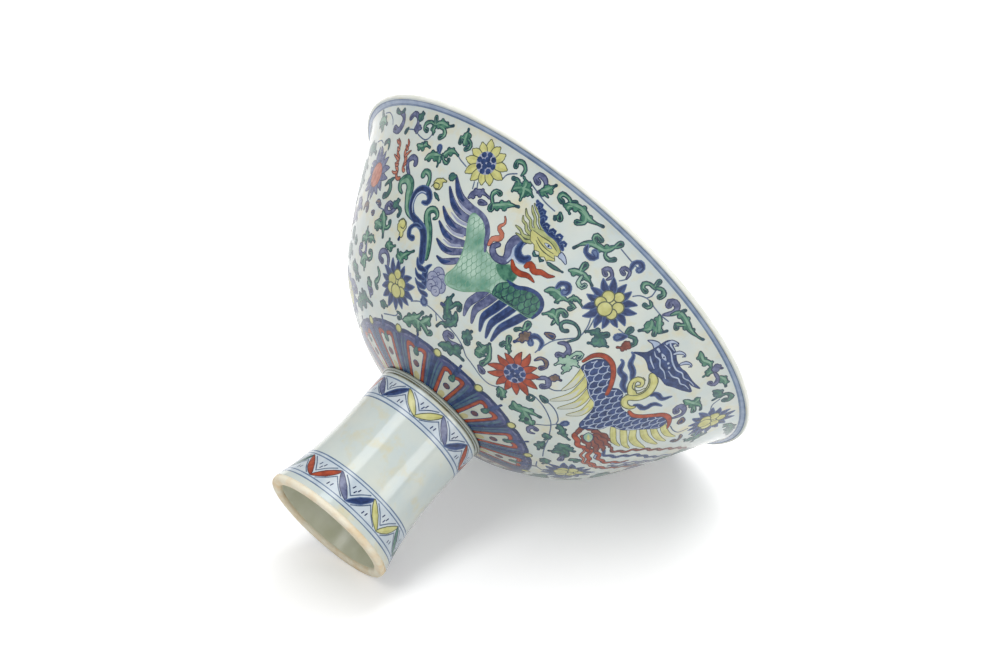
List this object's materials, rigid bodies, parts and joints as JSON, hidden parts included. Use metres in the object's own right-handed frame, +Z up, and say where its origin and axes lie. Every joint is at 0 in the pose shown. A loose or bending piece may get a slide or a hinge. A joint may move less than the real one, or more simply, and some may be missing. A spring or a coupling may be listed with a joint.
{
  "type": "stem bowl",
  "caption": "Porcelain stem bowl: a deep round bowl with a flared lip on a hollow waisted stem, painted with phoenixes, lotus scroll and lappets.",
  "frame": {"origin": "centre of the foot ring's resting face, with the bowl upright", "axes": "+Z up along the bowl's axis of turning, towards the lip; the side that the picture shows faces -Y"},
  "size_m": [0.155, 0.155, 0.1108],
  "materials": {
    "painted_porcelain": "glazed porcelain with painted enamels, glossy",
    "plain_porcelain": "glazed porcelain, glossy",
    "bead_glaze": "thin glaze over a bead of slip, glossy",
    "unglazed_biscuit": "bare fired clay, matte"
  },
  "bodies": {
    "root": {"bowl": "painted_porcelain", "stem": "plain_porcelain", "joint_collar": "bead_glaze", "luting_slip": "unglazed_biscuit"}
  },
  "joints": []
}
